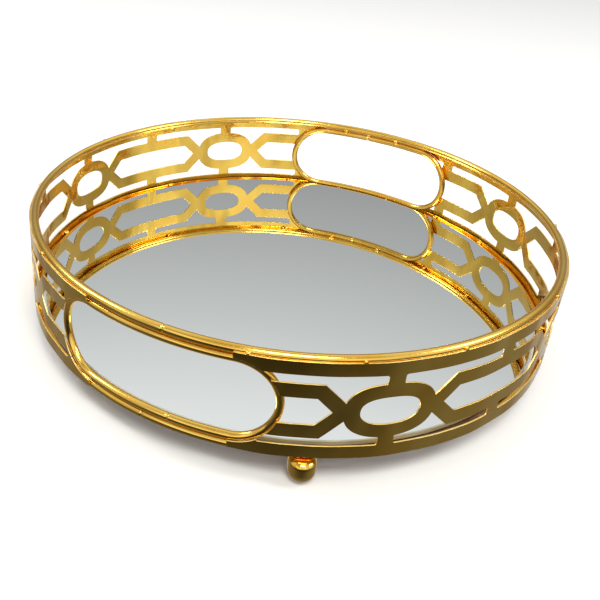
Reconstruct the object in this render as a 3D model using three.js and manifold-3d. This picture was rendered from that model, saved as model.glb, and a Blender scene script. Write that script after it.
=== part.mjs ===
// A round mirrored vanity tray with a pierced gallery rail, two wire handle loops and four feet.
// Millimetres, +Z up. The origin is on the surface the tray stands on, below its centre.
// The handles are on +X and -X. Angles are in degrees, counter-clockwise from +X seen from above.

import * as THREE from "three";
import { mergeVertices } from "three/addons/utils/BufferGeometryUtils.js";
import Module from "manifold-3d";

const wasm = await Module();
wasm.setup();

// Driving dimensions: gallery strips
const GALLERY_RADIUS = 150;
const FACET_ANGLE = 3.6;
const SHEET = 0.8;
const RAIL_HEIGHT = 6.8;
const SLOT_HEIGHT = 4.4;
const MOTIF_HEIGHT = 29;
const PITCH_ANGLE = 23.22;
const BAR_WIDTH = 7.7;
const OVAL_OUTER_LENGTH = 42.1;
const OVAL_HOLE_LENGTH = 27.5;
const OVAL_HOLE_HEIGHT = 14.8;
const OVAL_ROUNDNESS = 2.4;
const NOTCH_DISTANCE = 20.4;
const NOTCH_HEIGHT = 4.8;
const WINDOW_HEIGHT = 14.2;
const WINDOW_TIP_DISTANCE = 25.7;
const CORNER_RADIUS = 1;

// Driving dimensions: wires
const RIM_WIRE = 4.3;
const BASE_WIRE = 4.2;
const LOOP_WIRE = 3.9;
const JOINT_GAP = 0.3;

// Driving dimensions: handle loops
const LOOP_STRAIGHT_HALF_ANGLE = 14.6;
const STRIP_TONGUE_OVERLAP = 0.85;

// Driving dimensions: feet, mirror and what holds it
const FOOT_DIAMETER = 13;
const FOOT_HEIGHT = 12.6;
const FOOT_SHOULDER = 2.8;
const FOOT_FIRST_ANGLE = 27.8;
const FOOT_COUNT = 4;
const GLASS_RADIUS = 143.5;
const GLASS_THICKNESS = 3;
const GLASS_ARRIS = 0.5;
const BOARD_ARRIS = 0.3;
const PAD_ARRIS = 0.1;
const PAD_RADIUS = 14;
const PAD_THICKNESS = 0.8;
const PAD_CIRCLE = 85;
const PAD_COUNT = 5;
const BOARD_RADIUS = 143.2;
const BOARD_THICKNESS = 1.8;
const TAB_WIDTH = 14;
const TAB_LENGTH = 16;
const TAB_THICKNESS = 1.2;

// From a handle's middle round to the first oval of the strip that starts there. The two strips
// are cut from the same pattern, and each is trimmed by the handle loops where they fall.
const FRONT_FIRST_OVAL = 41.2;
const REAR_FIRST_OVAL = 44;

// How far the strips' lower edge lies below the middle of the base ring's wire
const STRIP_DROP = 0.2;

// Heights
const BASE_RING_Z = FOOT_HEIGHT + JOINT_GAP + BASE_WIRE / 2;
const GALLERY_HEIGHT = 2 * RAIL_HEIGHT + 2 * SLOT_HEIGHT + MOTIF_HEIGHT;
const GALLERY_BOTTOM = BASE_RING_Z - STRIP_DROP;
const GALLERY_TOP = GALLERY_BOTTOM + GALLERY_HEIGHT;
const MOTIF_Z = (GALLERY_BOTTOM + GALLERY_TOP) / 2;
const RIM_Z = GALLERY_TOP;
const LOOP_LOW_Z = BASE_RING_Z + BASE_WIRE / 2 + JOINT_GAP + LOOP_WIRE / 2;
const LOOP_HIGH_Z = RIM_Z - RIM_WIRE / 2 - JOINT_GAP - LOOP_WIRE / 2;

// Radii to wire centres, each wire just clear of the strips' inner face
const INNER_FACE = GALLERY_RADIUS - SHEET;
const RIM_RADIUS = INNER_FACE - JOINT_GAP - RIM_WIRE / 2;
const BASE_RADIUS = INNER_FACE - JOINT_GAP - BASE_WIRE / 2;
const LOOP_RADIUS = INNER_FACE - JOINT_GAP - LOOP_WIRE / 2;

// How finely the round shapes are stepped, and how deep the cutters that pierce the strips are
const CUTTER_DEPTH = 24;
const TRIM_STEPS = 16;
const OVAL_STEPS = 20;
const SHOULDER_STEPS = 5;
const RING_STEPS = 96;
const LOOP_STEPS = 48;
const WIRE_SIDES = 8;
const FOOT_STEPS = 16;
const NOSE_STEPS = 5;
const CROWN_STEPS = 3;
const GLASS_STEPS = 72;
const BOARD_STEPS = 48;
const PAD_STEPS = 12;

const GOLD = { color: 0xc79a3c, roughness: 0.16, metalness: 1 };
const GOLD_STRIP = { color: 0xb98e38, roughness: 0.2, metalness: 1 };
const MIRROR = { color: 0xc9d1d3, roughness: 0.03, metalness: 1 };
const FOAM = { color: 0xe6e4dd, roughness: 0.9, metalness: 0 };
const BOARD = { color: 0x6b4e33, roughness: 0.8, metalness: 0 };

const tray = new THREE.Group();
tray.name = "vanity_tray";

function addPiece(name, geometry, finish) {
  const piece = new THREE.Mesh(geometry, new THREE.MeshStandardMaterial(finish));
  piece.name = name;
  tray.add(piece);
  return piece;
}

function radians(degrees) {
  return THREE.MathUtils.degToRad(degrees);
}

// An angle in degrees as an arc length along the gallery's outer face
function angleToArc(angle) {
  return radians(angle) * GALLERY_RADIUS;
}

// Solids for cutting

function toSolid(geometry) {
  const bare = geometry.index ? geometry.clone() : geometry;
  bare.deleteAttribute("normal");
  bare.deleteAttribute("uv");
  const merged = mergeVertices(bare, 1e-4);
  const mesh = new wasm.Mesh({
    numProp: 3,
    vertProperties: new Float32Array(merged.attributes.position.array),
    triVerts: new Uint32Array(merged.index.array),
  });
  return new wasm.Manifold(mesh);
}

function toGeometry(solid) {
  const mesh = solid.getMesh();
  const geometry = new THREE.BufferGeometry();
  geometry.setAttribute("position", new THREE.BufferAttribute(mesh.vertProperties, 3));
  geometry.setIndex(new THREE.BufferAttribute(mesh.triVerts, 1));
  geometry.computeVertexNormals();
  return geometry;
}

// The place on the gallery at an angle: x runs round the rail, y up and z out of it
function radialPlace(angle, distance) {
  const a = radians(angle);
  const along = new THREE.Vector3(-Math.sin(a), Math.cos(a), 0);
  const up = new THREE.Vector3(0, 0, 1);
  const out = new THREE.Vector3(Math.cos(a), Math.sin(a), 0);
  const place = new THREE.Matrix4().makeBasis(along, up, out);
  place.setPosition(out.multiplyScalar(distance).setZ(MOTIF_Z));
  return place;
}

// A flat outline pushed out through the strip at an angle
function piercing(outline, angle) {
  const options = { depth: CUTTER_DEPTH, bevelEnabled: false, curveSegments: TRIM_STEPS };
  const prism = new THREE.ExtrudeGeometry(outline, options);
  prism.applyMatrix4(radialPlace(angle, GALLERY_RADIUS - CUTTER_DEPTH / 2));
  return toSolid(prism);
}

// The pierced pattern. Each outline is centred on its own oval or hexagon, at the motif's mid height.

function superellipsePoint(halfLength, halfHeight, turn) {
  const power = 2 / OVAL_ROUNDNESS;
  const c = Math.cos(turn);
  const s = Math.sin(turn);
  const x = halfLength * Math.sign(c) * Math.abs(c) ** power;
  const y = halfHeight * Math.sign(s) * Math.abs(s) ** power;
  return new THREE.Vector2(x, y);
}

function ovalHole() {
  const points = [];
  for (let i = 0; i < OVAL_STEPS; i += 1) {
    const turn = (2 * Math.PI * i) / OVAL_STEPS;
    points.push(superellipsePoint(OVAL_HOLE_LENGTH / 2, OVAL_HOLE_HEIGHT / 2, turn));
  }
  return new THREE.Shape(points);
}

function hexagonWindow() {
  const pitch = angleToArc(PITCH_ANGLE);
  const tip = pitch - WINDOW_TIP_DISTANCE;
  const half = WINDOW_HEIGHT / 2;
  const shoulder = tip - half;
  const window = new THREE.Shape();
  window.moveTo(tip, 0);
  window.lineTo(shoulder, half);
  window.lineTo(-shoulder, half);
  window.lineTo(-tip, 0);
  window.lineTo(-shoulder, -half);
  window.lineTo(shoulder, -half);
  window.closePath();
  return window;
}

// The slot from an oval's bar to the next hexagon's bar, above the motif for up = 1, below for -1.
// It follows the oval's shoulder down to the notch and the hexagon's corner back up.
// side = 1 puts the oval on the left of the outline's centre, -1 on the right.
function slotOutline(side, up) {
  const pitch = angleToArc(PITCH_ANGLE);
  const centre = pitch / 2;
  const railEdge = MOTIF_HEIGHT / 2 + SLOT_HEIGHT;
  const motifEdge = MOTIF_HEIGHT / 2;
  const cornerX = NOTCH_DISTANCE + (motifEdge - NOTCH_HEIGHT);
  const barEdge = BAR_WIDTH / 2;
  const r = CORNER_RADIUS;
  const ovalHalf = OVAL_OUTER_LENGTH / 2;
  const turnAt = (x) => Math.acos((x / ovalHalf) ** (OVAL_ROUNDNESS / 2));
  const points = [];
  points.push([barEdge + r, railEdge], [barEdge, railEdge - r]);
  for (let i = 0; i <= SHOULDER_STEPS; i += 1) {
    const turn = THREE.MathUtils.lerp(turnAt(barEdge), turnAt(NOTCH_DISTANCE), i / SHOULDER_STEPS);
    const p = superellipsePoint(ovalHalf, motifEdge, turn);
    points.push([p.x, p.y]);
  }
  points.push([cornerX, motifEdge], [pitch - barEdge - r, motifEdge], [pitch - barEdge, motifEdge + r]);
  points.push([pitch - barEdge, railEdge - r], [pitch - barEdge - r, railEdge]);
  const outline = points.map(([x, y]) => new THREE.Vector2(side * (x - centre), up * y));
  return new THREE.Shape(outline);
}

// The clear space inside a handle loop's end, as far as the strip's rails lap over the wire
function railTrim() {
  const radius = (LOOP_HIGH_Z - LOOP_LOW_Z) / 2 + LOOP_WIRE / 2 - STRIP_TONGUE_OVERLAP;
  const trim = new THREE.Shape();
  trim.absarc(0, (LOOP_HIGH_Z + LOOP_LOW_Z) / 2 - MOTIF_Z, radius, 0, 2 * Math.PI, false);
  return trim;
}

// The same for the motif's bars, which stop against the outside of the wire
function motifTrim() {
  const radius = (LOOP_HIGH_Z - LOOP_LOW_Z) / 2 + LOOP_WIRE / 2 + JOINT_GAP;
  const reach = MOTIF_HEIGHT / 2 + SLOT_HEIGHT / 2;
  const half = Math.asin(reach / radius);
  const trim = new THREE.Shape();
  trim.absarc(0, (LOOP_HIGH_Z + LOOP_LOW_Z) / 2 - MOTIF_Z, radius, -half, half, false);
  trim.absarc(0, (LOOP_HIGH_Z + LOOP_LOW_Z) / 2 - MOTIF_Z, radius, Math.PI - half, Math.PI + half, false);
  trim.closePath();
  return trim;
}

// A plain curved band, before it is pierced
function bandSolid(fromAngle, toAngle) {
  const plan = new THREE.Shape();
  plan.absarc(0, 0, GALLERY_RADIUS, radians(fromAngle), radians(toAngle), false);
  plan.absarc(0, 0, INNER_FACE, radians(toAngle), radians(fromAngle), true);
  plan.closePath();
  const facets = Math.round((toAngle - fromAngle) / FACET_ANGLE);
  const options = { depth: GALLERY_HEIGHT, bevelEnabled: false, curveSegments: facets };
  const band = new THREE.ExtrudeGeometry(plan, options);
  band.translate(0, 0, GALLERY_BOTTOM);
  return toSolid(band);
}

// The strip from one handle round to the next, with ovals at every second pitch
function galleryStrip(handleAngle, firstOval) {
  const start = handleAngle + LOOP_STRAIGHT_HALF_ANGLE;
  const end = handleAngle + 180 - LOOP_STRAIGHT_HALF_ANGLE;
  let strip = bandSolid(start, end);
  const slotCentre = PITCH_ANGLE / 2;
  for (let k = -1; k <= 6; k += 1) {
    const angle = handleAngle + firstOval + k * PITCH_ANGLE;
    const isOval = k % 2 === 0;
    strip = strip.subtract(piercing(isOval ? ovalHole() : hexagonWindow(), angle));
    if (isOval) {
      for (const side of [-1, 1]) {
        for (const up of [-1, 1]) {
          strip = strip.subtract(piercing(slotOutline(side, up), angle + side * slotCentre));
        }
      }
    }
  }
  for (const angle of [start, end]) {
    strip = strip.subtract(piercing(railTrim(), angle));
    strip = strip.subtract(piercing(motifTrim(), angle));
  }
  return toGeometry(strip);
}

// The centreline of a handle loop: two straight runs and two half circles, laid on a cylinder
class LoopCurve extends THREE.Curve {
  constructor(angle) {
    super();
    this.angle = radians(angle);
    this.halfRun = radians(LOOP_STRAIGHT_HALF_ANGLE) * LOOP_RADIUS;
    this.radius = (LOOP_HIGH_Z - LOOP_LOW_Z) / 2;
    this.middle = (LOOP_HIGH_Z + LOOP_LOW_Z) / 2;
  }

  getPoint(t, target = new THREE.Vector3()) {
    const run = 2 * this.halfRun;
    const bend = Math.PI * this.radius;
    const half = run + bend;
    const distance = (((t % 1) + 1) % 1) * 2 * half;
    const side = distance < half ? 1 : -1;
    const d = distance % half;
    let s;
    let z;
    if (d < run) {
      s = d - this.halfRun;
      z = -this.radius;
    } else {
      const turn = (d - run) / this.radius;
      s = this.halfRun + this.radius * Math.sin(turn);
      z = -this.radius * Math.cos(turn);
    }
    const a = this.angle + (side * s) / LOOP_RADIUS;
    return target.set(LOOP_RADIUS * Math.cos(a), LOOP_RADIUS * Math.sin(a), this.middle + side * z);
  }
}

// A closed wire, so the tube has no open ends
function closedWire(curve, diameter) {
  const wire = new THREE.TubeGeometry(curve, LOOP_STEPS, diameter / 2, WIRE_SIDES, true);
  return toGeometry(toSolid(wire));
}

function ringWire(radius, diameter, z) {
  const ring = new THREE.TorusGeometry(radius, diameter / 2, WIRE_SIDES, RING_STEPS);
  ring.translate(0, 0, z);
  return toGeometry(toSolid(ring));
}

// Points of a profile turned about Z, from the axis at the bottom to the axis at the top
function turned(profile, steps) {
  const points = profile.map(([radius, z]) => new THREE.Vector2(radius, z));
  const lathe = new THREE.LatheGeometry(points, steps);
  lathe.rotateX(Math.PI / 2);
  return toGeometry(toSolid(lathe));
}

function footGeometry() {
  const r = FOOT_DIAMETER / 2;
  const profile = [];
  for (let i = 0; i <= NOSE_STEPS; i += 1) {
    const turn = (Math.PI / 2) * (i / NOSE_STEPS);
    profile.push([r * Math.sin(turn), r - r * Math.cos(turn)]);
  }
  for (let i = 0; i <= CROWN_STEPS; i += 1) {
    const turn = (Math.PI / 2) * (i / CROWN_STEPS);
    const out = FOOT_SHOULDER * (1 - Math.cos(turn));
    profile.push([r - out, FOOT_HEIGHT - FOOT_SHOULDER * (1 - Math.sin(turn))]);
  }
  profile.push([0, FOOT_HEIGHT]);
  return turned(profile, FOOT_STEPS);
}

function plate(radius, thickness, arris, steps) {
  return turned(
    [
      [0, 0],
      [radius - arris, 0],
      [radius, arris],
      [radius, thickness - arris],
      [radius - arris, thickness],
      [0, thickness],
    ],
    steps,
  );
}

function polar(radius, angle, z) {
  return new THREE.Vector3(radius * Math.cos(radians(angle)), radius * Math.sin(radians(angle)), z);
}

// Wires
addPiece("rim_wire", ringWire(RIM_RADIUS, RIM_WIRE, RIM_Z), GOLD);
addPiece("base_ring", ringWire(BASE_RADIUS, BASE_WIRE, BASE_RING_Z), GOLD);
addPiece("handle_loop_right", closedWire(new LoopCurve(0), LOOP_WIRE), GOLD);
addPiece("handle_loop_left", closedWire(new LoopCurve(180), LOOP_WIRE), GOLD);

// Pierced strips
addPiece("gallery_rear", galleryStrip(0, REAR_FIRST_OVAL), GOLD_STRIP);
addPiece("gallery_front", galleryStrip(180, FRONT_FIRST_OVAL), GOLD_STRIP);

// Mirror and what it lies on
const BOARD_Z = FOOT_HEIGHT + JOINT_GAP;
const PAD_Z = BOARD_Z + BOARD_THICKNESS + JOINT_GAP;
const GLASS_Z = PAD_Z + PAD_THICKNESS + JOINT_GAP;
const glass = plate(GLASS_RADIUS, GLASS_THICKNESS, GLASS_ARRIS, GLASS_STEPS);
const board = plate(BOARD_RADIUS, BOARD_THICKNESS, BOARD_ARRIS, BOARD_STEPS);
addPiece("mirror_glass", glass, MIRROR).position.z = GLASS_Z;
addPiece("backing_board", board, BOARD).position.z = BOARD_Z;
for (let i = 0; i < PAD_COUNT; i += 1) {
  const pad = addPiece(`mirror_pad_${i + 1}`, plate(PAD_RADIUS, PAD_THICKNESS, PAD_ARRIS, PAD_STEPS), FOAM);
  pad.position.copy(polar(PAD_CIRCLE, (360 * i) / PAD_COUNT, PAD_Z));
}

// Feet below the base ring, and the tabs halfway between them that hold the board up
const footPitch = 360 / FOOT_COUNT;
for (let i = 0; i < FOOT_COUNT; i += 1) {
  const angle = FOOT_FIRST_ANGLE + i * footPitch;
  const foot = addPiece(`foot_${i + 1}`, footGeometry(), GOLD);
  foot.position.copy(polar(BASE_RADIUS, angle, 0));
  const tabAngle = angle + footPitch / 2;
  const tabPlate = new THREE.BoxGeometry(TAB_LENGTH, TAB_WIDTH, TAB_THICKNESS);
  const tab = addPiece(`board_tab_${i + 1}`, tabPlate, GOLD);
  tab.position.copy(polar(BASE_RADIUS - TAB_LENGTH / 2, tabAngle, FOOT_HEIGHT - TAB_THICKNESS / 2));
  tab.rotation.z = radians(tabAngle);
}

export default tray;
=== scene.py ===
"""Round mirrored vanity tray: pierced gallery strips between wire rings, wire handles and ball feet.

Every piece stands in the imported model's frame, in metres, +Z up, with the handles on +X and -X.
"""

from math import cos, pi, radians, sin

import bpy
import numpy as np
from bpy.props import FloatProperty, FloatVectorProperty, IntProperty, PointerProperty
from mathutils import Matrix, Vector
from mathutils.geometry import delaunay_2d_cdt


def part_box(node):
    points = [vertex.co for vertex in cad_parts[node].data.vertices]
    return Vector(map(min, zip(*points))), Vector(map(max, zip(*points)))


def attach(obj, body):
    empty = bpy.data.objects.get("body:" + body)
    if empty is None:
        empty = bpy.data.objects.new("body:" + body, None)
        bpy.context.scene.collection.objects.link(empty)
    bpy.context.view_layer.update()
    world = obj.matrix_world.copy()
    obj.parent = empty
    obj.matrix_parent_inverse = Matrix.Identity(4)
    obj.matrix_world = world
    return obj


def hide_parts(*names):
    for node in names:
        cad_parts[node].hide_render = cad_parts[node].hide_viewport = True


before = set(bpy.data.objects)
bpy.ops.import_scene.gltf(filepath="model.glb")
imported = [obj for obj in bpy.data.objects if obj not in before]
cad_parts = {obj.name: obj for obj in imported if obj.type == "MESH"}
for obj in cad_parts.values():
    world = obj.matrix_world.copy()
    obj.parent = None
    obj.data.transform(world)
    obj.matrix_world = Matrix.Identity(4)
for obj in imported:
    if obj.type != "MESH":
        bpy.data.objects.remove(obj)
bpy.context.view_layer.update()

bl_info = {
    "name": "Mirrored Vanity Tray",
    "version": (1, 0, 0),
    "blender": (4, 5, 0),
    "location": "View3D > Sidebar > Vanity Tray",
    "description": "Builds a round mirrored tray with a pierced gallery, wire handles and ball feet",
    "category": "Add Mesh",
}

MM = 0.001
TAU = 2 * pi

# How finely the wires are drawn: points along, points round, and the closer points by a ring's joint.
RING_STEPS, RING_SIDES = 900, 28
LOOP_STEPS, LOOP_SIDES = 1100, 26
SEAM_STEPS, SEAM_REACH = 61, radians(1.5)

# How finely the strips' outlines and the net between them are drawn.
OVAL_STEPS, SHOULDER_STEPS, CORNER_STEPS = 72, 22, 5
RAIL_CUT_STEPS, BAR_CUT_STEPS = 18, 26
WINDOW_STEP, SLOT_STEP, CUT_STEP = 2.0 * MM, 2.2 * MM, 2.5 * MM
NET_SPACING = 3.0 * MM
TRIANGLES_INSIDE, NET_MERGE = 1, 0.02

# Motifs counted from a strip's first oval: even ones are ovals, odd ones hexagon windows.
MOTIFS = range(-1, 7)
# How much further the motif's bars lap over a handle loop's wire than the rails' ends do.
BAR_LAP = 1.3
# Lengths of strip over which the rolled sheet's two sines each turn by one radian.
BUCKLE_LENGTHS = (7.3 * MM, 4.1 * MM)

# Edges sharper than these stay crisp.
DISC_CREASE, SMALL_CREASE, SHEET_CREASE = radians(25), radians(30), radians(50)
# A glass face whose normal rises less than this is a chamfer, the rim or the back.
FACE_RISE = 0.9

# Where the weld spots are: turns from a handle's middle, and degrees round from the right handle.
LOOP_WELDS = (radians(-6.6), radians(8.4))
OUTER_WELDS = (26.0, 53.5, 84.0, 116.0, 148.0, 197.0, 215.5, 233.5, 262.0, 294.0, 331.0)
INNER_WELDS = (24.0, 61.0, 102.0, 137.0, 158.0, 205.0, 246.0, 282.0, 321.5, 338.0)
# The outer spots stand in from the strips' skin and above the middle of the rim's wire; the inner
# ones stand in from the strips' inner skin.
CROWN_INSET, CROWN_RISE, WELD_INSET = 0.7 * MM, 0.4 * MM, 0.9 * MM

RIM_SEED, BASE_SEED, WELD_SEED, LOWER_WELD_SEEDS = 3, 7, 11, 60

# Brightness of the studio, each stop as (place from -1 to 1, brightness).
FAR_WALL = (
    (0.0, 0.26), (0.3, 0.31), (0.38, 0.37), (0.48, 0.51),
    (0.56, 0.66), (0.66, 0.9), (0.8, 0.95), (1.0, 0.75),
)
NEAR_WALL = ((0.0, 0.75), (0.15, 1.05), (0.5, 1.2), (0.75, 0.95), (0.85, 0.5), (1.0, 0.7))
WALL_DRIFT = ((0.34, 0.4), (0.5, 0.85), (0.62, 1.1))
GROUND = (
    (-1.0, 0.75), (-0.75, 0.6), (-0.45, 0.26), (0.0, 0.19),
    (0.4, 0.15), (0.62, 0.09), (0.8, 0.04), (1.0, 0.03),
)
SIDE_FADE = ((-0.25, 0.0), (0.35, 1.0))
HORIZON_FADE = ((-0.05, 0.0), (0.05, 1.0))
FLOOR_HALF = 4.0

# The soft lights: name, place, side, power and colour. All look at LIGHT_AIM.
LIGHT_AIM = (0, 0, 0.04)
LIGHTS = (
    ("soft_key", (-0.55, -0.35, 1.2), 0.45, 9.0, (1.0, 0.98, 0.94)),
    ("soft_left", (-0.2, 1.2, 1.25), 0.5, 10.0, (1.0, 0.99, 0.97)),
    ("soft_right", (0.45, -1.15, 1.2), 0.5, 8.0, (1.0, 0.99, 0.97)),
)


# ---------------------------------------------------------------- properties


def length(name, description, millimetres):
    """A length property, given in millimetres and kept in metres."""
    return FloatProperty(
        name=name, description=description, default=millimetres * MM, min=0.0, precision=5, unit="LENGTH"
    )


def turn(name, description, in_degrees):
    """An angle property, given in degrees and kept in radians."""
    return FloatProperty(name=name, description=description, default=radians(in_degrees), unit="ROTATION")


def share(name, description, default, high=1.0):
    """A plain number from nothing to high."""
    return FloatProperty(name=name, description=description, default=default, min=0.0, max=high)


def colour(name, description, default):
    """A linear colour property."""
    return FloatVectorProperty(
        name=name, description=description, default=default, size=3, min=0.0, max=4.0, subtype="COLOR"
    )


class GallerySizes(bpy.types.PropertyGroup):
    """The pierced strips."""

    sheet: length("Sheet", "Thickness of the pierced strips", 0.8)
    rail: length("Rail", "Height of the plain rails along both edges", 6.8)
    slot: length("Slot", "Height of the slots between a rail and the motif", 4.4)
    bar: length("Bar", "Width of the upright bars", 7.7)
    pitch: turn("Pitch", "From an oval to the next hexagon, round the tray", 23.22)
    oval_length: length("Oval length", "Outer length of an oval", 42.1)
    oval_hole_length: length("Oval hole length", "Length of the hole in an oval", 27.5)
    oval_hole_height: length("Oval hole height", "Height of the hole in an oval", 14.8)
    oval_power: share("Oval roundness", "Power of the superellipse, 2 for a true ellipse", 2.4, 4.0)
    notch: length("Notch distance", "From an oval's middle to the notch beside it", 20.4)
    notch_height: length("Notch height", "Half height of the neck at the notch", 4.8)
    window_height: length("Window height", "Height of the long hexagon windows", 14.2)
    window_gap: length("Window gap", "From an oval's middle to the tip of the next window", 25.7)
    corner: length("Corner", "Radius of the slots' corners", 1.0)
    front_start: turn("Front start", "From the left handle's middle to the first oval", 41.2)
    rear_start: turn("Rear start", "From the right handle's middle to the first oval", 44.0)
    tongue_lap: length("Tongue lap", "How far the rails' ends lap over the loop's wire", 0.85)
    edge: length("Edge", "Width of the softened edge of the sheet", 0.14)
    buckle: length("Buckle", "How far the rolled sheet wavers from a true circle", 0.1)


class WireSizes(bpy.types.PropertyGroup):
    """The rings, the handle loops and the weld spots."""

    loop_wire: length("Loop wire", "Diameter of the handle loops' wire", 3.9)
    straight: turn("Straight run", "Half of a handle loop's straight run, round the tray", 14.6)
    seam: share("Seam depth", "Depth of the groove at a butt joint, as a share of the wire's radius", 0.2)
    seam_width: length("Seam width", "Width of the groove at a butt joint", 0.5)
    rim_seam: turn("Rim joint", "Where the rim ring's butt joint is", 182.0)
    base_seam: turn("Base joint", "Where the base ring's butt joint is", 178.1)
    right_seam: share("Right joint", "Place of the right loop's joint, as a share of its length", 0.485)
    left_seam: share("Left joint", "Place of the left loop's joint, as a share of its length", 0.03)
    waver: length("Waver", "How far the drawn wires waver from a true curve", 0.12)
    weld: length("Weld", "Radius of a weld spot", 1.7)


class MirrorSizes(bpy.types.PropertyGroup):
    """The mirror, its board and the foam pads."""

    arris: length("Arris", "Width of the ground edge's chamfer", 0.5)
    board_edge: length("Board edge", "Width of the board's softened edge", 0.4)
    pad_edge: length("Pad edge", "Width of a foam pad's softened edge", 0.15)
    steps: IntProperty(name="Steps", description="Steps round the glass", default=256, min=16)
    board_steps: IntProperty(name="Board steps", description="Steps round the board", default=128, min=16)
    pad_steps: IntProperty(name="Pad steps", description="Steps round a pad", default=48, min=12)


class FootSizes(bpy.types.PropertyGroup):
    """The ball feet and the tabs."""

    shoulder: length("Shoulder", "Rounding at the foot's top", 2.8)
    first: turn("First foot", "Place of the first foot, round from the right handle", 27.8)
    steps: IntProperty(name="Steps", description="Steps round a foot", default=72, min=12)
    tab_length: length("Tab length", "Length of a holding tab", 16.0)
    tab_width: length("Tab width", "Width of a holding tab", 14.0)
    tab_edge: length("Tab edge", "Width of a tab's softened edge", 0.2)


class Finishes(bpy.types.PropertyGroup):
    """The colours of the finishes."""

    gold: colour("Gold", "Colour of the plated wires", (0.93, 0.6, 0.125))
    gold_deep: colour("Deep gold", "Colour where the plating is thicker", (0.86, 0.49, 0.07))
    sheet_gold: colour("Sheet gold", "Colour of the plated strips", (0.9, 0.585, 0.115))
    # Pale cream gold on the cut edges: partly the sheared metal's own duller finish, partly a painted
    # highlight along the edges.
    cut_gold_and_highlight: colour("Cut gold", "Colour of the strips' sheared edges", (0.93, 0.72, 0.33))
    silver: colour("Silvering", "Colour of the mirror", (0.80, 0.84, 0.83))
    glass_edge: colour("Glass edge", "Colour of the ground glass edge", (0.46, 0.49, 0.41))
    board: colour("Board", "Colour of the hardboard back", (0.19, 0.11, 0.055))
    foam: colour("Foam", "Colour of the foam pads", (0.78, 0.76, 0.70))
    floor: colour("Floor", "Colour of the floor", (0.86, 0.86, 0.85))


class StageSettings(bpy.types.PropertyGroup):
    """The camera and the studio."""

    azimuth: turn("Azimuth", "Where the camera stands, round from the right handle", 201.5)
    reach: length("Reach", "From the tray's axis to the camera, level", 392.9)
    height: length("Height", "The camera's height above the rim", 182.6)
    swing: turn("Swing", "How far the camera looks aside from the tray's axis", 6.18)
    tilt: turn("Tilt", "How far the camera looks down", 27.58)
    roll: turn("Roll", "How far the camera leans", 3.41)
    lens: FloatProperty(name="Lens", description="Focal length in millimetres", default=44.36)
    shift_x: FloatProperty(name="Shift X", description="Lens shift across", default=0.1343)
    shift_y: FloatProperty(name="Shift Y", description="Lens shift up", default=-0.1133)
    sky: share("Sky", "Brightness of the studio's ceiling and walls", 1.0, 10.0)


# ---------------------------------------------------------------- meshes


def add_piece(name, points, faces, material, slot, *nodes, smooth_angle=None):
    """Makes a mesh object and stands it in for CAD nodes.

    Points are rows of x, y and z. Faces are whole arrays of point numbers, a row to a face and an
    array to a number of corners, and the mesh keeps their order. Faces that Blender would have to
    correct are an error, because a correction would move the faces that follow.
    """
    mesh = bpy.data.meshes.new(name)
    rows = sum((block.tolist() for block in faces), [])
    mesh.from_pydata(np.asarray(points, float).reshape(-1, 3).tolist(), [], rows)
    if mesh.validate():
        raise ValueError(f"{name} has faces that are not valid")
    mesh.shade_smooth()
    if smooth_angle is not None:
        mesh.set_sharp_from_angle(angle=smooth_angle)
    piece = bpy.data.objects.new(name, mesh)
    bpy.context.scene.collection.objects.link(piece)
    mesh.materials.append(material)
    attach(piece, "root")
    if nodes:
        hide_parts(*nodes)
    return piece


def grid_faces(rows, columns):
    """The quads of a grid that closes on itself both ways.

    A face steps to the next column first and then to the next row, so that its normal is the
    columns' direction crossed with the rows'.
    """
    i, j = np.meshgrid(np.arange(rows), np.arange(columns), indexing="ij")
    k, m = (i + 1) % rows, (j + 1) % columns
    quads = np.stack([i * columns + j, i * columns + m, k * columns + m, k * columns + j], -1)
    return [quads.reshape(-1, 4)]


def swept(centre, radius, sides):
    """A round wire along a closed line.

    The section at each point of the line is a circle of that point's radius, in the plane of the
    direction away from the tray's axis and the direction square to it and to the line. The circle
    turns from the first to the second, and that direction crossed with the line's points outwards.
    """
    along = np.roll(centre, -1, 0) - np.roll(centre, 1, 0)
    along /= np.linalg.norm(along, axis=1, keepdims=True)
    out = centre * (1, 1, 0)
    out -= along * (out * along).sum(1, keepdims=True)
    out /= np.linalg.norm(out, axis=1, keepdims=True)
    side = np.cross(along, out)
    a = np.linspace(0, TAU, sides, endpoint=False)[None, :, None]
    r = np.broadcast_to(radius, len(centre))[:, None, None]
    points = centre[:, None] + r * (np.cos(a) * out[:, None] + np.sin(a) * side[:, None])
    return points, grid_faces(len(centre), sides)


def revolved(profile, steps):
    """A profile of (radius, height) turned about Z.

    Ring i stands at the profile's point i, its points at equal turns. The first and last points lie
    on the axis, and each is one point that a fan of triangles closes.
    """
    profile = np.asarray(profile, float)
    a = np.linspace(0, TAU, steps, endpoint=False)
    ring = np.stack([np.cos(a), np.sin(a), np.zeros(steps)], 1)
    middle = profile[1:-1]
    points = middle[:, None, :1] * ring + middle[:, None, 1:] * np.array([0.0, 0.0, 1.0])
    rows = len(middle)
    i, j = np.meshgrid(np.arange(rows - 1), np.arange(steps), indexing="ij")
    m = (j + 1) % steps
    quads = np.stack([i * steps + j, i * steps + m, (i + 1) * steps + m, (i + 1) * steps + j], -1)
    low, high, last = rows * steps, rows * steps + 1, (rows - 1) * steps
    k, n = np.arange(steps), (np.arange(steps) + 1) % steps
    foot = np.stack([np.full(steps, low), n, k], 1)
    head = np.stack([np.full(steps, high), last + k, last + n], 1)
    poles = [[0, 0, profile[0, 1]], [0, 0, profile[-1, 1]]]
    return np.concatenate([points.reshape(-1, 3), poles]), [quads.reshape(-1, 4), foot, head]


def arc(centre, radius, start, end, steps):
    """Points on an arc: the centre plus the radius times the cosine and sine of even angles."""
    a = np.linspace(start, end, steps)
    return np.stack([centre[0] + radius * np.cos(a), centre[1] + radius * np.sin(a)], 1)


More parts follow.
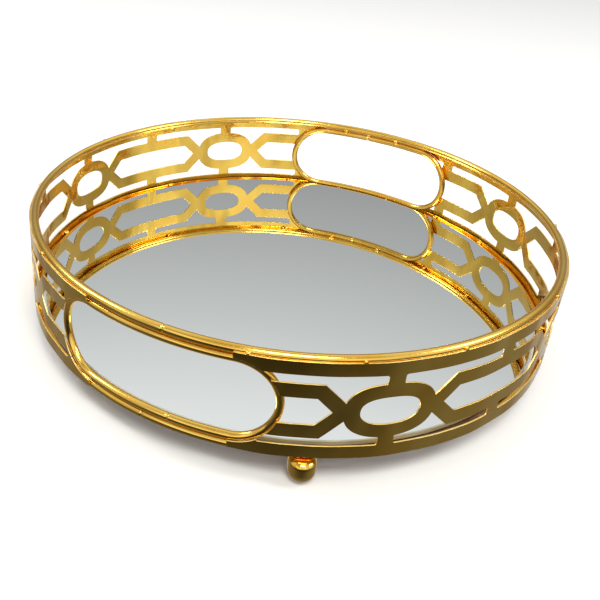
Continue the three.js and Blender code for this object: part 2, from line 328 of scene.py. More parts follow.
def joined(parts):
    """Several (points, faces) as one: a part's point numbers move up by the points before it."""
    starts = np.cumsum([0, *(len(points) for points, _ in parts)])
    points = np.concatenate([points for points, _ in parts])
    faces = [block + start for (_, blocks), start in zip(parts, starts) for block in blocks]
    return points, faces


def softened(piece, width):
    """A bevel of two steps along the piece's edges."""
    bevel = piece.modifiers.new("softened_edges", "BEVEL")
    bevel.width = width
    bevel.segments = 2
    return bevel


# ---------------------------------------------------------------- materials


class Nodes:
    """A short way to build the nodes of a material or of the world, which has no surface shader."""

    def __init__(self, owner):
        owner.use_nodes = True
        self.owner = owner
        self.tree = owner.node_tree
        self.shader = self.tree.nodes.get("Principled BSDF")

    def add(self, kind, **inputs):
        """A node whose inputs are given by name, with _ for a space."""
        node = self.tree.nodes.new(kind)
        for key, value in inputs.items():
            self.feed(node, key.replace("_", " "), value)
        return node

    def feed(self, node, key, value):
        """Links a socket to an input, or sets a plain value on it."""
        socket = node.inputs[int(key) if key.isdigit() else key]
        if isinstance(value, bpy.types.NodeSocket):
            self.tree.links.new(value, socket)
        else:
            socket.default_value = value

    def noise(self, scale, detail=2.0, stretch=(1, 1, 1)):
        """Noise over the piece's own coordinates, times a stretch along each axis."""
        place = self.add("ShaderNodeTexCoord")
        mapping = self.add("ShaderNodeMapping", Vector=place.outputs["Object"], Scale=stretch)
        made = self.add("ShaderNodeTexNoise", Vector=mapping.outputs[0], Scale=scale, Detail=detail)
        return made.outputs["Fac"]

    def ramp(self, value, stops):
        """A colour that runs evenly between stops, each (place from 0 to 1, colour)."""
        node = self.add("ShaderNodeValToRGB", Fac=value)
        ramp = node.color_ramp
        ramp.elements[0].position, ramp.elements[0].color = stops[0][0], (*stops[0][1], 1)
        ramp.elements[1].position, ramp.elements[1].color = stops[-1][0], (*stops[-1][1], 1)
        for position, shade in stops[1:-1]:
            ramp.elements.new(position).color = (*shade, 1)
        return node.outputs["Color"]

    def tones(self, value, stops):
        """A grey ramp over a value from -1 to 1; each stop is (place, brightness)."""
        place = self.add("ShaderNodeMapRange", Value=value)
        place.inputs["From Min"].default_value = -1.0
        return self.ramp(place.outputs[0], [((x + 1) / 2, grey(y)) for x, y in stops])

    def blend(self, share_of_second, first, second, mode="MIX"):
        """Two colours mixed by a share, or multiplied."""
        node = self.tree.nodes.new("ShaderNodeMix")
        node.data_type, node.blend_type, node.clamp_factor = "RGBA", mode, True
        if mode == "MULTIPLY":
            node.inputs[0].default_value = 1.0
            self.feed(node, "6", share_of_second)
        else:
            self.feed(node, "0", share_of_second)
            self.feed(node, "6", first)
        self.feed(node, "7", second)
        return node.outputs[2]

    def spread(self, value, low, high):
        """Noise from 0.3 to 0.7, where nearly all of it lies, spread evenly from low to high."""
        node = self.add("ShaderNodeMapRange", Value=value, To_Min=low, To_Max=high)
        node.inputs["From Min"].default_value = 0.3
        node.inputs["From Max"].default_value = 0.7
        return node.outputs[0]

    def bump(self, height, strength, distance):
        """Tilts the surface by the slope of a height."""
        node = self.add("ShaderNodeBump", Height=height, Strength=strength, Distance=distance)
        self.tree.links.new(node.outputs[0], self.shader.inputs["Normal"])

    def set(self, **inputs):
        """Feeds the surface shader's inputs and gives the material back."""
        for key, value in inputs.items():
            self.feed(self.shader, key.replace("_", " "), value)
        return self.owner


def grey(value):
    """A colour of three equal parts."""
    return (value, value, value)


def plated(name, pale, deep, rough, grain, dents):
    """Polished gold plating: the colour drifts softly, with faint polishing marks and slow dents."""
    n = Nodes(bpy.data.materials.new(name))
    drift = n.noise(38.0, 3.0)
    marks = n.noise(900.0, 3.0, grain)
    waves = n.noise(48.0, 1.0, (1, 1, 0.6))
    shade = n.ramp(drift, [(0.3, deep), (0.62, pale), (0.9, pale)])
    n.feed(n.shader, "Roughness", n.spread(marks, rough * 0.7, rough * 1.4))
    dented = n.add("ShaderNodeBump", Height=waves, Strength=1.0, Distance=dents)
    under = dented.outputs[0]
    fine = n.add("ShaderNodeBump", Height=marks, Strength=0.03, Distance=0.0001, Normal=under)
    n.feed(n.shader, "Normal", fine.outputs[0])
    return n.set(Base_Color=shade, Metallic=1.0)


def silvering(colours):
    """Silvered float glass seen from its face, with the faintest haze and dust."""
    n = Nodes(bpy.data.materials.new("mirror_silvering"))
    dust = n.noise(1800.0, 4.0)
    haze = n.noise(9.0, 2.0)
    n.feed(n.shader, "Roughness", n.spread(haze, 0.012, 0.03))
    silver = tuple(colours.silver)
    tone = n.ramp(dust, [(0.0, silver), (0.72, silver), (0.86, grey(0.7))])
    return n.set(Base_Color=tone, Metallic=1.0, Coat_Weight=0.15, Coat_Roughness=0.02)


def ground_glass(colours):
    """The ground edge of the glass: grey-green, satin, with the grinding wheel's fine lines."""
    n = Nodes(bpy.data.materials.new("ground_glass_edge"))
    lines = n.noise(700.0, 2.0, (0.05, 0.05, 6.0))
    base = np.array(colours.glass_edge)
    tone = n.ramp(lines, [(0.3, tuple(base * 0.8)), (0.7, tuple(base * 1.35))])
    n.bump(lines, 0.2, 0.0001)
    return n.set(Base_Color=tone, Roughness=0.35, Metallic=0.0, Coat_Weight=0.4, Coat_Roughness=0.12)


def hardboard(colours):
    """Hardboard: pressed fibres, with darker and lighter flecks and a dull face."""
    n = Nodes(bpy.data.materials.new("pressed_hardboard"))
    fibre = n.noise(420.0, 6.0, (1, 3, 1))
    fleck = n.noise(60.0, 4.0)
    base = np.array(colours.board)
    mixed = n.add("ShaderNodeMath", **{"0": fibre, "1": fleck})
    mixed.operation = "MULTIPLY"
    stops = [(0.12, tuple(base * 0.6)), (0.25, tuple(base)), (0.4, tuple(base * 1.7))]
    tone = n.ramp(mixed.outputs[0], stops)
    n.bump(fibre, 0.5, 0.0003)
    return n.set(Base_Color=tone, Roughness=0.78)


def foam(colours):
    """Closed-cell foam tape: off-white, matt, with small cells."""
    n = Nodes(bpy.data.materials.new("closed_foam"))
    place = n.add("ShaderNodeTexCoord")
    cells = n.add("ShaderNodeTexVoronoi", Vector=place.outputs["Object"], Scale=1400.0)
    base = np.array(colours.foam)
    tone = n.ramp(cells.outputs["Distance"], [(0.0, tuple(base * 0.75)), (0.5, tuple(base))])
    n.bump(cells.outputs["Distance"], 0.4, 0.0002)
    return n.set(Base_Color=tone, Roughness=0.9)


def finishes(context):
    """The materials by name, made once."""
    made = bpy.data.materials
    c = context.scene.tray_finishes
    if "plated_wire" not in made:
        plated("plated_wire", tuple(c.gold), tuple(c.gold_deep), 0.14, (1, 1, 1), 0.00012)
        plated("plated_sheet", tuple(c.sheet_gold), tuple(c.gold_deep), 0.12, (1, 1, 0.12), 0.0016)
        # The sheared edges drift to a pale cream: partly their own rougher finish, partly a painted
        # highlight along the edges.
        plated("sheared_edge_and_highlight", tuple(c.cut_gold_and_highlight), tuple(c.sheet_gold), 0.42, (1, 1, 1), 0.0001)
        silvering(c)
        ground_glass(c)
        hardboard(c)
        foam(c)
    return made


# ---------------------------------------------------------------- places from the frame


def ring_place(node):
    """Radius of the ring, radius of its wire and height of its middle.

    The wire's radius is half the box's height, and the ring's is the box's reach less that.
    """
    low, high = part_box(node)
    wire = (high.z - low.z) / 2
    return high.y - wire, wire, (high.z + low.z) / 2


def loop_place(node, wire):
    """Radius that a handle loop lies on, its half height and its middle's height.

    The first two are the box's reach and half height less the wire's radius.
    """
    low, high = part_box(node)
    outer = max(abs(low.x), abs(high.x))
    return outer - wire, (high.z - low.z) / 2 - wire, (high.z + low.z) / 2


def gallery_place():
    """Outer radius of the strips, and the heights of their lower and upper edges."""
    low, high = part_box("gallery_rear")
    return high.y, low.z, high.z


# ---------------------------------------------------------------- wires


def wavering(angle, size, seed):
    """A slow wave round the tray: sines of 3, 7 and 13 turns whose phases come from the seed."""
    a, b, c = np.random.default_rng(seed).uniform(0, TAU, 3)
    waves = np.sin(3 * angle + a) + 0.6 * np.sin(7 * angle + b) + 0.4 * np.sin(13 * angle + c)
    return size * waves / 2


def seam_groove(distance, radius, sizes):
    """The wire's radius near a butt joint: it dips by the seam's depth in a bell-shaped groove."""
    return radius * (1 - sizes.seam * np.exp(-((distance / sizes.seam_width) ** 2)))


def ring_wire(name, node, seam_angle, seed, context):
    """A ring of drawn wire: a level circle with a slow waver, out and up, and one butt joint.

    The points crowd towards the joint by the cube of an even step, so that its groove is drawn.
    """
    sizes = context.scene.tray_wires
    radius, wire, height = ring_place(node)
    near = np.linspace(-1, 1, SEAM_STEPS) ** 3 * SEAM_REACH
    far = np.linspace(near[-1], TAU + near[0], RING_STEPS)[1:-1]
    a = np.concatenate([near, far]) + seam_angle
    away = np.concatenate([near, np.full(len(far), pi)]) * radius
    r = radius + wavering(a, sizes.waver, seed) * 0.6
    z = height + wavering(a, sizes.waver, seed + 1) * 0.4
    centre = np.stack([r * np.cos(a), r * np.sin(a), z], 1)
    points, faces = swept(centre, seam_groove(away, wire, sizes), RING_SIDES)
    return add_piece(name, points, faces, finishes(context)["plated_wire"], "gold_wire", node)


def loop_line(node, angle, sizes):
    """A handle loop's centre line and the distance along it.

    Two straight runs joined by two half circles, drawn flat with s round the tray and z up, then
    rolled on to the cylinder that the loop lies on. It starts at the middle of the lower run.
    """
    radius, half, middle = loop_place(node, sizes.loop_wire / 2)
    run = 2 * sizes.straight * radius
    bend = pi * half
    total = 2 * (run + bend)
    distance = np.linspace(0, total, LOOP_STEPS, endpoint=False)
    d = (distance + run / 2) % total
    e = d % (run + bend)
    side = np.where(d < run + bend, 1.0, -1.0)
    curl = np.maximum(e - run, 0) / half
    s = np.where(e < run, e - run / 2, run / 2 + half * np.sin(curl))
    z = -half * np.cos(curl)
    a = angle + side * s / radius
    line = np.stack([radius * np.cos(a), radius * np.sin(a), middle + side * z], 1)
    return line, distance


def handle_loop(name, node, angle, seam_at, context):
    """A handle: the loop's centre line with a round section and a butt joint at a share of it."""
    sizes = context.scene.tray_wires
    line, distance = loop_line(node, angle, sizes)
    away = distance - distance[-1] * seam_at
    groove = seam_groove(away, sizes.loop_wire / 2, sizes)
    points, faces = swept(line, groove, LOOP_SIDES)
    return add_piece(name, points, faces, finishes(context)["plated_wire"], "gold_wire", node)


class TRAY_OT_wires(bpy.types.Operator):
    """Adds the rim ring, the base ring and the two handle loops"""

    bl_idname = "tray.add_wires"
    bl_label = "Wires"

    def execute(self, context):
        w = context.scene.tray_wires
        ring_wire("rim_ring", "rim_wire", w.rim_seam, RIM_SEED, context)
        ring_wire("base_ring_wire", "base_ring", w.base_seam, BASE_SEED, context)
        handle_loop("handle_right", "handle_loop_right", 0.0, w.right_seam, context)
        handle_loop("handle_left", "handle_loop_left", pi, w.left_seam, context)
        return {"FINISHED"}


# ---------------------------------------------------------------- gallery


def superellipse(half_length, half_height, power, a):
    """Points of |x/a|^p + |y/b|^p = 1 at the turns a."""
    c, s = np.cos(a), np.sin(a)
    x = half_length * np.sign(c) * np.abs(c) ** (2 / power)
    y = half_height * np.sign(s) * np.abs(s) ** (2 / power)
    return np.stack([x, y], 1)


def oval_hole(g):
    """The hole in an oval: a superellipse."""
    a = np.linspace(0, TAU, OVAL_STEPS, endpoint=False)
    return superellipse(g.oval_hole_length / 2, g.oval_hole_height / 2, g.oval_power, a)


def window_hole(g, pitch):
    """A long hexagon with pointed ends, whose slanting sides fall as far as they run."""
    tip, half = pitch - g.window_gap, g.window_height / 2
    shoulder = tip - half
    upper = [(tip, 0), (shoulder, half), (-shoulder, half)]
    lower = [(-tip, 0), (-shoulder, -half), (shoulder, -half)]
    return refined(np.array(upper + lower), WINDOW_STEP)


def slot_hole(g, pitch, motif, side, up):
    """A slot from an oval's bar to the next hexagon's bar.

    It runs along the rail, round the rounded corners at both bars, along the oval's shoulder down
    to the notch, up the hexagon's corner and back along the hexagon's edge. The oval is at x = 0.
    """
    edge, rail, bar, r = motif / 2, motif / 2 + g.slot, g.bar / 2, g.corner
    half = g.oval_length / 2
    near, far = [np.arccos((x / half) ** (g.oval_power / 2)) for x in (bar, g.notch)]
    shoulder = superellipse(half, edge, g.oval_power, np.linspace(near, far, SHOULDER_STEPS))
    corner = (g.notch + edge - g.notch_height, edge)
    outline = np.concatenate([
        arc((bar + r, rail - r), r, pi / 2, pi, CORNER_STEPS),
        shoulder,
        [corner],
        arc((pitch - bar - r, edge + r), r, -pi / 2, 0, CORNER_STEPS),
        arc((pitch - bar - r, rail - r), r, 0, pi / 2, CORNER_STEPS),
    ])
    return refined(outline, SLOT_STEP) * (side, up)


def refined(outline, longest):
    """The outline with each edge split evenly into the fewest parts that aren't too long.

    An edge's number is repeated once for each of its parts, and a part starts at the edge's start
    plus the edge's step times the part's place among them.
    """
    step = np.roll(outline, -1, 0) - outline
    counts = np.maximum(1, np.ceil(np.hypot(*step.T) / longest)).astype(int)
    edge = np.repeat(np.arange(len(outline)), counts)
    first = np.repeat(np.cumsum(counts) - counts, counts)
    place = (np.arange(len(edge)) - first) / counts[edge]
    return outline[edge] + step[edge] * place[:, None]


def end_cut(start, middle, half, wire, lap, reach, side):
    """What a handle loop takes from a strip's end, drawn about the middle of the loop's bend.

    The cut's radius is the wire's outer radius less the lap. The motif's bars lap further over the
    wire than the rails' ends, so the radius steps in between the bars' upper and lower reach.
    side = 1 cuts the strip's start, -1 its end.
    """
    by_rails = half + wire - lap
    by_bars = half + wire - lap * BAR_LAP
    step = np.arcsin(reach / by_bars)
    round_side = np.concatenate([
        arc((0, 0), by_rails, -pi / 2, -step, RAIL_CUT_STEPS),
        arc((0, 0), by_bars, -step, step, BAR_CUT_STEPS),
        arc((0, 0), by_rails, step, pi / 2, RAIL_CUT_STEPS),
    ])
    flat_side = np.array([(-by_bars, by_rails), (-by_bars, -by_rails)])
    outline = np.concatenate([round_side, flat_side]) * (side, 1)
    return refined(outline, CUT_STEP) + (start, middle)


def anticlockwise(outline):
    """The outline, turned round if it runs clockwise, when twice its area comes out negative."""
    after = np.roll(outline, -1, 0)
    area = (outline[:, 0] * after[:, 1] - outline[:, 1] * after[:, 0]).sum()
    return outline if area > 0 else outline[::-1]


def inside_marks(outlines, spacing, low, high):
    """Points of an even grid over the strip, well away from every outline."""
    s, z = np.meshgrid(np.arange(low[0], high[0], spacing), np.arange(low[1], high[1], spacing))
    marks = np.stack([s.ravel(), z.ravel()], 1)
    edge = np.concatenate(outlines)
    gap = np.full(len(marks), np.inf)
    for block in np.array_split(edge, max(1, len(edge) // 400)):
        gap = np.minimum(gap, np.hypot(*(marks[:, None] - block[None]).transpose(2, 0, 1)).min(1))
    return marks[gap > spacing * 0.45]


def pierced(plate, holes, spacing):
    """Triangles of a plate's outline with holes in it, holes and outline crossing freely.

    A constrained Delaunay triangulation of all the outlines, from which the triangles that lie in
    the plate and in no hole are kept.
    """
    outlines = [anticlockwise(outline) for outline in (plate, *holes)]
    marks = inside_marks(outlines, spacing, plate.min(0), plate.max(0))
    points = np.concatenate([*outlines, marks])
    ends = np.cumsum([len(outline) for outline in outlines])
    rings = [ring.tolist() for ring in np.split(np.arange(ends[-1]), ends[:-1])]
    scaled = (points / MM).tolist()
    made = delaunay_2d_cdt(scaled, [], rings, TRIANGLES_INSIDE, NET_MERGE)
    kept = [face for face, owners in zip(made[2], made[5]) if list(owners) == [0]]
    return np.array(made[0]) * MM, np.array(kept)


def rolled_sheet(flat, triangles, radius, angle, sheet, buckle):
    """A flat net of triangles rolled on to a cylinder and given a thickness.

    A point (s, z) goes to the turn angle + s / radius at the height z. The outer skin lies on the
    cylinder and the inner one a sheet's thickness inside it, both moved by the same slow buckle:
    a sine of s plus 0.7 of a shorter one, less their highest sum, so that it only moves inwards.
    A wall of quads joins the skins along every free edge.
    """
    used, index = np.unique(triangles, return_inverse=True)
    flat, triangles = flat[used], index.reshape(-1, 3)
    a, b, c = flat[triangles].transpose(1, 0, 2)
    turned = np.cross(b - a, c - a) < 0
    triangles[turned] = triangles[turned][:, ::-1]
    turn_at = angle + flat[:, 0] / radius
    slow, quick = [flat[:, 0] / span for span in BUCKLE_LENGTHS]
    off = buckle * (np.sin(slow) + 0.7 * np.sin(quick + 1.0)) - 1.7 * buckle
    skins = []
    for depth in (0.0, sheet):
        r = radius - depth + off
        skins.append(np.stack([r * np.cos(turn_at), r * np.sin(turn_at), flat[:, 1]], 1))
    count = len(flat)
    edges = np.concatenate([triangles[:, [0, 1]], triangles[:, [1, 2]], triangles[:, [2, 0]]])
    key = np.sort(edges, 1)
    _, first, times = np.unique(key, axis=0, return_index=True, return_counts=True)
    free = edges[first[times == 1]]
    walls = np.stack([free[:, 1], free[:, 0], free[:, 0] + count, free[:, 1] + count], 1)
    inner = triangles[:, ::-1] + count
    return np.concatenate(skins), [triangles, inner, walls]


def gallery_strip(name, node, angle, first_oval, context):
    """A pierced strip from one handle round to the next.

    The plate runs from the middle of one loop's bend to the middle of the other's. Ovals stand at
    every second pitch from first_oval, hexagon windows between them, and slots above and below.
    """
    g, w = context.scene.tray_gallery, context.scene.tray_wires
    radius, low, high = gallery_place()
    wire = w.loop_wire / 2
    _, half, loop_middle = loop_place("handle_loop_right", wire)
    middle = (low + high) / 2
    motif = high - low - 2 * g.rail - 2 * g.slot
    pitch = g.pitch * radius
    start, end = w.straight * radius, (pi - w.straight) * radius
    plate = refined(np.array([(start, low), (end, low), (end, high), (start, high)]), SLOT_STEP)
    holes = []
    for k in MOTIFS:
        place = np.array([(first_oval + k * g.pitch) * radius, middle])
        if k % 2:
            holes.append(window_hole(g, pitch) + place)
        else:
            holes.append(oval_hole(g) + place)
            quarters = [(side, up) for side in (-1, 1) for up in (-1, 1)]
            holes += [slot_hole(g, pitch, motif, side, up) + place for side, up in quarters]
    reach = motif / 2 + g.slot / 2
    for side, at in ((1, start), (-1, end)):
        holes.append(end_cut(at, loop_middle, half, wire, g.tongue_lap, reach, side))
    flat, triangles = pierced(plate, holes, NET_SPACING)
    points, faces = rolled_sheet(flat, triangles, radius, angle, g.sheet, g.buckle)
    made = finishes(context)
    piece = add_piece(name, points, faces, made["plated_sheet"], "gold_sheet", node)
    # The walls take the pale cream edge gold, which is partly a painted highlight along the edges.
    piece.data.materials.append(made["sheared_edge_and_highlight"])
    # The walls come after the two skins.
    edge = (np.arange(len(piece.data.polygons)) >= 2 * len(triangles)).astype(np.int32)
    piece.data.polygons.foreach_set("material_index", edge)
    bevel = softened(piece, g.edge)
    bevel.limit_method = "ANGLE"
    bevel.angle_limit = SHEET_CREASE
    bevel.use_clamp_overlap = False
    weigh = piece.modifiers.new("flat_faces_lead", "WEIGHTED_NORMAL")
    weigh.keep_sharp = False
    return piece


class TRAY_OT_gallery(bpy.types.Operator):
    """Adds the two pierced gallery strips"""

    bl_idname = "tray.add_gallery"
    bl_label = "Gallery strips"

    def execute(self, context):
        g = context.scene.tray_gallery
        gallery_strip("gallery_strip_rear", "gallery_rear", 0.0, g.rear_start, context)
        gallery_strip("gallery_strip_front", "gallery_front", pi, g.front_start, context)
        return {"FINISHED"}


# ---------------------------------------------------------------- mirror, board and pads


def disc_profile(radius, low, high, arris, rings):
    """A disc's profile: flat faces of evenly spaced rings, as far as a chamfer at both edges.

    The chamfer takes the arris off the radius and off the height.
    """
    inner = np.linspace(0, radius - arris, rings)
    return (
        [(r, low) for r in inner]
        + [(radius, low + arris), (radius, high - arris)]
        + [(r, high) for r in inner[::-1]]
    )


def disc(name, node, arris, steps, rings, material, slot):
    """A chamfered disc in the place of a CAD node that is centred on the axis."""
    low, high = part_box(node)
    profile = disc_profile(high.y, low.z, high.z, arris, rings)
    points, faces = revolved(profile, steps)
    return add_piece(name, points, faces, material, slot, node, smooth_angle=DISC_CREASE)


class TRAY_OT_mirror(bpy.types.Operator):
    """Adds the mirror, its backing board and the foam pads between them"""

    bl_idname = "tray.add_mirror"
    bl_label = "Mirror and board"

    def execute(self, context):
        made, m = finishes(context), context.scene.tray_mirror
        silver, board = made["mirror_silvering"], made["pressed_hardboard"]
        glass = disc("mirror_plate", "mirror_glass", m.arris, m.steps, 6, silver, "mirror_glass")
        glass.data.materials.append(made["ground_glass_edge"])
        normals = np.empty(len(glass.data.polygons) * 3)
        glass.data.polygons.foreach_get("normal", normals)
        edge = (normals.reshape(-1, 3)[:, 2] < FACE_RISE).astype(np.int32)
        glass.data.polygons.foreach_set("material_index", edge)
        disc("hardboard_back", "backing_board", m.board_edge, m.board_steps, 4, board, "backing_board")
        for i in range(1, 6):
            node = f"mirror_pad_{i}"
            low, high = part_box(node)
            radius = (high.y - low.y) / 2
            profile = disc_profile(radius, low.z, high.z, m.pad_edge, 3)
            points, faces = revolved(profile, m.pad_steps)
            centre = (low + high) / 2
            points += (centre.x, centre.y, 0)
            pad = (f"foam_pad_{i}", points, faces, made["closed_foam"], "pad_foam", node)
            add_piece(*pad, smooth_angle=SMALL_CREASE)
        return {"FINISHED"}


# ---------------------------------------------------------------- feet and tabs


def foot_profile(radius, height, shoulder):
    """A half ball below, a short straight side and a quarter circle for the shoulder at the top."""
    nose = np.linspace(-pi / 2, 0, 26)
    top = np.linspace(0, pi / 2, 14)
    return np.concatenate([
        np.stack([radius * np.cos(nose), radius + radius * np.sin(nose)], 1),
        np.stack([radius + shoulder * (np.cos(top) - 1), height + shoulder * (np.sin(top) - 1)], 1),
        [(0, height)],
    ])


def tab_plate(size, width, thick):
    """A flat tab along X whose inner end has two rounded corners of a quarter of its width.

    Its outline stands half the thickness below and above the middle, each closed by one face, and
    quads from each point to the next join the two.
    """
    r = width / 4
    flat = np.concatenate([
        [(size / 2, -width / 2), (size / 2, width / 2)],
        arc((r - size / 2, r), r, pi / 2, pi, 7),
        arc((r - size / 2, -r), r, pi, 1.5 * pi, 7),
    ])
    count = len(flat)
    points = np.concatenate([np.c_[flat, np.full(count, z)] for z in (-thick / 2, thick / 2)])
    here = np.arange(count)
    after = (here + 1) % count
    walls = np.stack([here, after, after + count, here + count], 1)
    return points, [here[None, ::-1], here[None] + count, walls]


class TRAY_OT_feet(bpy.types.Operator):
    """Adds the ball feet and the tabs that hold the board up"""

    bl_idname = "tray.add_feet"
    bl_label = "Feet and tabs"

    def execute(self, context):
        made, f = finishes(context), context.scene.tray_feet
        for i in range(1, 5):
            low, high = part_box(f"foot_{i}")
            centre = (low + high) / 2
            radius = (high.x - low.x) / 2
            profile = foot_profile(radius, high.z - low.z, f.shoulder)
            points, faces = revolved(profile, f.steps)
            points += (centre.x, centre.y, low.z)
            add_piece(f"ball_foot_{i}", points, faces, made["plated_wire"], "gold_wire", f"foot_{i}")
        for i in range(1, 5):
            low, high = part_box(f"board_tab_{i}")
            centre = (low + high) / 2
            a = f.first + (i - 0.5) * pi / 2
            points, faces = tab_plate(f.tab_length, f.tab_width, high.z - low.z)
            points = points @ np.array(Matrix.Rotation(a, 3, "Z")).T + tuple(centre)
            tab = (f"holding_tab_{i}", points, faces, made["plated_sheet"], "gold_wire", f"board_tab_{i}")
            softened(add_piece(*tab, smooth_angle=SMALL_CREASE), f.tab_edge)
        return {"FINISHED"}


# ---------------------------------------------------------------- welds


def weld_spot(centre, along, out, size, seed):
    """A small lump of weld: a ball stretched along the wires, with a soft uneven skin.

    A ball's points are moved out or in by the sum of three sines of their own x, y and z, whose
    phases come from the seed. Then x, y and z are laid along the wires, outwards and square to both,
    each times its size.
    """
    u = np.linspace(-pi / 2, pi / 2, 13)
    points, faces = revolved(np.stack([np.cos(u), np.sin(u)], 1), 20)
    a, b, c = np.random.default_rng(seed).uniform(0, TAU, 3)
    x, y, z = points.T
    rough = 1 + 0.08 * np.sin(3 * x + a) + 0.08 * np.sin(4 * y + b) + 0.06 * np.sin(5 * z + c)
    along, out = np.asarray(along, float), np.asarray(out, float)
    axes = np.stack([along * size[0], out * size[1], np.cross(along, out) * size[2]])
    return centre + (points * rough[:, None]) @ axes, faces


def spot_on_cylinder(a, radius, height, size, seed):
    """A weld spot stretched round the tray.

    It stands at the radius times the cosine and sine of its turn, raised by the height.
    """
    out = np.array([cos(a), sin(a), 0.0])
    along = np.array([-sin(a), cos(a), 0.0])
    return weld_spot(out * radius + (0, 0, height), along, out, size, seed)


class TRAY_OT_welds(bpy.types.Operator):
    """Adds the weld spots between the rings, the handle loops and the strips"""

    bl_idname = "tray.add_welds"
    bl_label = "Weld spots"

    def execute(self, context):
        w = context.scene.tray_wires
        _, rim_wire, rim_z = ring_place("rim_wire")
        _, base_wire, base_z = ring_place("base_ring")
        wire = w.loop_wire / 2
        loop_radius, _, _ = loop_place("handle_loop_right", wire)
        size = (w.weld * 1.1, w.weld * 0.8, w.weld * 0.9)
        skin = gallery_place()[0]
        crown = skin - CROWN_INSET
        inner = skin - context.scene.tray_gallery.sheet - WELD_INSET
        spots, seed = [], WELD_SEED
        for handle in (0.0, pi):
            for offset in LOOP_WELDS:
                for height in (rim_z - rim_wire, base_z + base_wire):
                    at = (handle + offset, loop_radius - wire * 0.8, height)
                    spots.append(spot_on_cylinder(*at, size, seed))
                    seed += 1
        small = tuple(0.6 * x for x in size)
        for a in OUTER_WELDS:
            spots.append(spot_on_cylinder(radians(a), crown, rim_z + CROWN_RISE, small, seed))
            seed += 1
        for a in INNER_WELDS:
            upper = (radians(a), inner, rim_z - rim_wire * 0.95)
            lower = (radians(a), inner, base_z + base_wire * 0.9)
            spots.append(spot_on_cylinder(*upper, size, seed))
            spots.append(spot_on_cylinder(*lower, size, seed + LOWER_WELD_SEEDS))
            seed += 1
        points, faces = joined(spots)
        add_piece("weld_spots", points, faces, finishes(context)["plated_wire"], "gold_wire")
        return {"FINISHED"}


# ---------------------------------------------------------------- stage


def add_floor(context):
    """A wide pale floor below the feet."""
    mesh = bpy.data.meshes.new("floor")
    corners = np.array([(-1, -1, 0), (1, -1, 0), (1, 1, 0), (-1, 1, 0)]) * FLOOR_HALF
    mesh.from_pydata(corners.tolist(), [], [(0, 1, 2, 3)])
    floor = bpy.data.objects.new("floor", mesh)
    context.scene.collection.objects.link(floor)
    n = Nodes(bpy.data.materials.new("floor_paper"))
    grain = n.noise(60.0, 5.0)
    base = np.array(context.scene.tray_finishes.floor)
    tone = n.ramp(grain, [(0.3, tuple(base * 0.99)), (0.7, tuple(base))])
    mesh.materials.append(n.set(Base_Color=tone, Roughness=0.9))
    floor.visible_glossy = False


def add_light(name, place, size, power, shade, context):
    """A square soft light turned so that it looks at the lights' aim."""
    data = bpy.data.lights.new(name, "AREA")
    data.shape, data.size, data.energy, data.color = "SQUARE", size, power, shade
    light = bpy.data.objects.new(name, data)
    look = (Vector(LIGHT_AIM) - Vector(place)).to_track_quat("-Z", "Y")
    light.matrix_world = Matrix.Translation(place) @ look.to_matrix().to_4x4()
    context.scene.collection.objects.link(light)


def add_sky(context):
    """The studio round the tray, worked out from the direction alone.

    Above the horizon the camera's side is a bright wall and the far side a greyer one that
    brightens upwards. Below it the ground is dark on the camera's side and lighter elsewhere.
    """
    stage = context.scene.tray_stage
    world = bpy.data.worlds.new("studio")
    context.scene.world = world
    n = Nodes(world)
    ray = n.add("ShaderNodeTexCoord").outputs["Generated"]
    towards = (cos(stage.azimuth), sin(stage.azimuth), 0.0)
    side = n.add("ShaderNodeVectorMath", **{"0": ray, "1": towards})
    side.operation = "DOT_PRODUCT"
    near = side.outputs["Value"]
    rise = n.add("ShaderNodeSeparateXYZ", Vector=ray).outputs["Z"]
    drift = n.add("ShaderNodeTexNoise", Vector=ray, Scale=2.6, Detail=1.0).outputs["Fac"]
    far_wall = n.tones(rise, FAR_WALL)
    near_wall = n.blend(n.tones(drift, WALL_DRIFT), grey(0.0), n.tones(rise, NEAR_WALL), "MULTIPLY")
    walls = n.blend(n.tones(near, SIDE_FADE), far_wall, near_wall)
    ground = n.tones(near, GROUND)
    sky = n.blend(n.tones(rise, HORIZON_FADE), ground, walls)
    background = n.tree.nodes["Background"]
    n.feed(background, "Color", sky)
    n.feed(background, "Strength", stage.sky)



def add_camera(context):
    """A camera at its azimuth round the tray, looking in and down, with a small roll."""
    s = context.scene.tray_stage
    rim_z = ring_place("rim_wire")[2]
    data = bpy.data.cameras.new("camera")
    data.lens, data.shift_x, data.shift_y = s.lens, s.shift_x, s.shift_y
    data.sensor_width, data.clip_start = 36.0, 0.01
    camera = bpy.data.objects.new("camera", data)
    place = Vector((s.reach * cos(s.azimuth), s.reach * sin(s.azimuth), rim_z + s.height))
    inwards = s.azimuth + pi / 2
    aim = Matrix.Rotation(inwards + s.swing, 3, "Z") @ Matrix.Rotation(-s.tilt, 3, "X")
    aim = aim @ Matrix.Rotation(-s.roll, 3, "Y") @ Matrix.Rotation(pi / 2, 3, "X")
    camera.matrix_world = Matrix.Translation(place) @ aim.to_4x4()
    context.scene.collection.objects.link(camera)
    context.scene.camera = camera


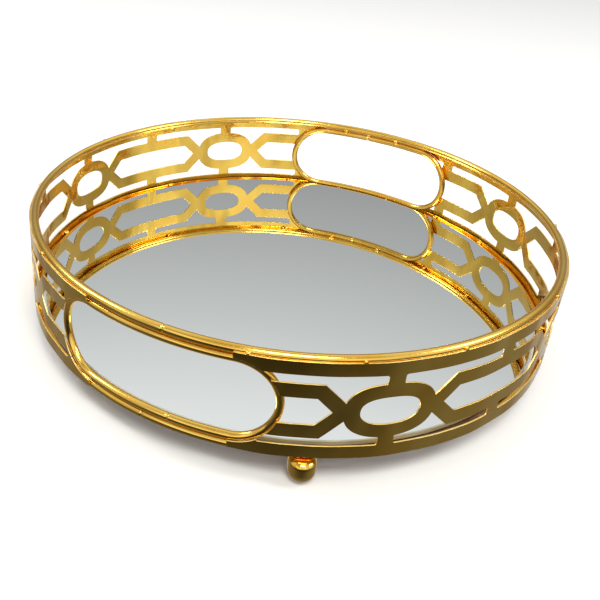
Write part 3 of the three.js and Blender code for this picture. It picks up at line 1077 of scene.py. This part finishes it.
class TRAY_OT_stage(bpy.types.Operator):
    """Adds the floor, the studio's light and the camera"""

    bl_idname = "tray.set_stage"
    bl_label = "Stage"

    def execute(self, context):
        add_floor(context)
        add_sky(context)
        for light in LIGHTS:
            add_light(*light, context)
        add_camera(context)
        context.scene.view_settings.view_transform = "Standard"
        return {"FINISHED"}


# ---------------------------------------------------------------- add-on


class TRAY_PT_panel(bpy.types.Panel):
    """Each group of settings with its operators"""

    bl_label = "Vanity Tray"
    bl_idname = "TRAY_PT_panel"
    bl_space_type = "VIEW_3D"
    bl_region_type = "UI"
    bl_category = "Vanity Tray"

    def draw(self, context):
        for group, operators in PANEL_ROWS:
            box = self.layout.box()
            settings = getattr(context.scene, group)
            for key in settings.__annotations__:
                box.prop(settings, key)
            for operator in operators:
                box.operator(operator.bl_idname)


GROUPS = (
    ("tray_gallery", GallerySizes),
    ("tray_wires", WireSizes),
    ("tray_mirror", MirrorSizes),
    ("tray_feet", FootSizes),
    ("tray_finishes", Finishes),
    ("tray_stage", StageSettings),
)
PANEL_ROWS = (
    ("tray_wires", (TRAY_OT_wires, TRAY_OT_welds)),
    ("tray_gallery", (TRAY_OT_gallery,)),
    ("tray_mirror", (TRAY_OT_mirror,)),
    ("tray_feet", (TRAY_OT_feet,)),
    ("tray_finishes", ()),
    ("tray_stage", (TRAY_OT_stage,)),
)
OPERATORS = (TRAY_OT_wires, TRAY_OT_gallery, TRAY_OT_mirror, TRAY_OT_feet, TRAY_OT_welds, TRAY_OT_stage)
CLASSES = (*(group for _, group in GROUPS), *OPERATORS, TRAY_PT_panel)


def register():
    """Registers the classes and gives the scene its groups of sizes."""
    for cls in CLASSES:
        bpy.utils.register_class(cls)
    for name, group in GROUPS:
        setattr(bpy.types.Scene, name, PointerProperty(type=group))


def unregister():
    """Takes back what register gave, in the other order."""
    for name, _ in GROUPS:
        delattr(bpy.types.Scene, name)
    for cls in reversed(CLASSES):
        bpy.utils.unregister_class(cls)


def main():
    """Builds the stage and the tray."""
    register()
    bpy.ops.tray.set_stage()
    bpy.ops.tray.add_wires()
    bpy.ops.tray.add_gallery()
    bpy.ops.tray.add_mirror()
    bpy.ops.tray.add_feet()
    bpy.ops.tray.add_welds()


if __name__ == "__main__":
    main()
